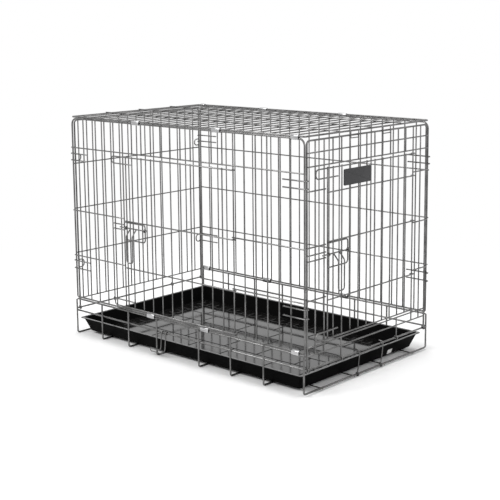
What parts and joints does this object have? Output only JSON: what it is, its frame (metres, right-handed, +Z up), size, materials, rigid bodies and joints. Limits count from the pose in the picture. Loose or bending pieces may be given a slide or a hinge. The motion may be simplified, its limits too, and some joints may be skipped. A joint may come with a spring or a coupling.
{
  "type": "folding dog crate",
  "caption": "Folding wire dog crate with a hinged front door, a hinged end door, slide bolts and a pull-out plastic tray.",
  "frame": {"origin": "on the floor under the middle of the crate's bounding box", "axes": "+X along the crate to the right end, +Y from the front to the back, +Z up"},
  "size_m": [0.7869, 0.4804, 0.5648],
  "materials": {
    "zinc_wire": "bright zinc-plated wire",
    "bright_clip": "bright zinc-plated sheet",
    "dark_steel": "dull zinc-plated sheet",
    "black_plastic": "semi-gloss black moulding",
    "grey_plastic": "dark grey, satin"
  },
  "bodies": {
    "base": {"base_frame": "zinc_wire", "front_bottom_clip_1": "bright_clip", "front_bottom_clip_2": "bright_clip", "front_bottom_clip_3": "bright_clip", "back_bottom_clip_1": "bright_clip", "back_bottom_clip_2": "bright_clip", "back_bottom_clip_3": "bright_clip"},
    "front_panel": {"front_panel": "zinc_wire", "front_top_clip_1": "bright_clip", "front_top_clip_2": "bright_clip", "front_top_clip_3": "bright_clip"},
    "top_panel": {"top_panel": "zinc_wire", "back_top_clip_1": "bright_clip", "back_top_clip_2": "bright_clip", "back_top_clip_3": "bright_clip"},
    "back_panel": {"back_panel": "zinc_wire"},
    "left_end_panel": {"left_end_panel": "zinc_wire"},
    "right_end_panel": {"right_end_panel": "zinc_wire"},
    "front_door": {"front_door": "zinc_wire"},
    "front_door_bolt": {"front_door_bolt": "zinc_wire"},
    "end_door": {"end_door": "zinc_wire", "badge_plate": "grey_plastic", "badge_backing": "dark_steel"},
    "end_door_bolt": {"end_door_bolt": "zinc_wire"},
    "tray": {"tray": "black_plastic"},
    "tray_gate": {"tray_gate": "zinc_wire"},
    "fold_hook": {"fold_hook": "zinc_wire"}
  },
  "joints": [
    {"name": "left_end_fold", "type": "hinge", "parent": "base", "child": "left_end_panel", "pos_m": [-0.38645, 0.0073, 0.0664], "axis": [0, 1, 0], "range_deg": [0, 90]},
    {"name": "right_end_fold", "type": "hinge", "parent": "base", "child": "right_end_panel", "pos_m": [0.37355, 0.0073, 0.058], "axis": [0, -1, 0], "range_deg": [0, 90]},
    {"name": "front_panel_fold", "type": "hinge", "parent": "base", "child": "front_panel", "pos_m": [-0.00645, -0.22045, 0.096], "axis": [1, 0, 0], "range_deg": [0, 90]},
    {"name": "back_panel_fold", "type": "hinge", "parent": "base", "child": "back_panel", "pos_m": [-0.00645, 0.23505, 0.096], "axis": [-1, 0, 0], "range_deg": [0, 90]},
    {"name": "top_fold", "type": "hinge", "parent": "front_panel", "child": "top_panel", "pos_m": [-0.00645, -0.22045, 0.5605], "axis": [1, 0, 0], "range_deg": [0, 90]},
    {"name": "front_door_hinge", "type": "hinge", "parent": "front_panel", "child": "front_door", "pos_m": [0.16892, -0.22045, 0.296], "axis": [0, 0, -1], "range_deg": [-120, 0]},
    {"name": "end_door_hinge", "type": "hinge", "parent": "right_end_panel", "child": "end_door", "pos_m": [0.37355, 0.17433, 0.296], "axis": [0, 0, -1], "range_deg": [-120, 0]},
    {"name": "front_bolt_slide", "type": "slide", "parent": "front_door", "child": "front_door_bolt", "axis": [-1, 0, 0], "range_m": [-0.018, 0]},
    {"name": "end_bolt_slide", "type": "slide", "parent": "end_door", "child": "end_door_bolt", "axis": [0, -1, 0], "range_m": [-0.018, 0]},
    {"name": "tray_slide", "type": "slide", "parent": "base", "child": "tray", "axis": [1, 0, 0], "range_m": [-0.7, 0.01]},
    {"name": "tray_gate_hinge", "type": "hinge", "parent": "base", "child": "tray_gate", "pos_m": [0.37355, 0.0073, 0.0058], "axis": [0, -1, 0], "range_deg": [-83, 0]},
    {"name": "fold_hook_hinge", "type": "hinge", "parent": "base", "child": "fold_hook", "pos_m": [-0.06195, -0.22065, 0.0603], "axis": [-1, 0, 0], "range_deg": [0, 80]}
  ]
}
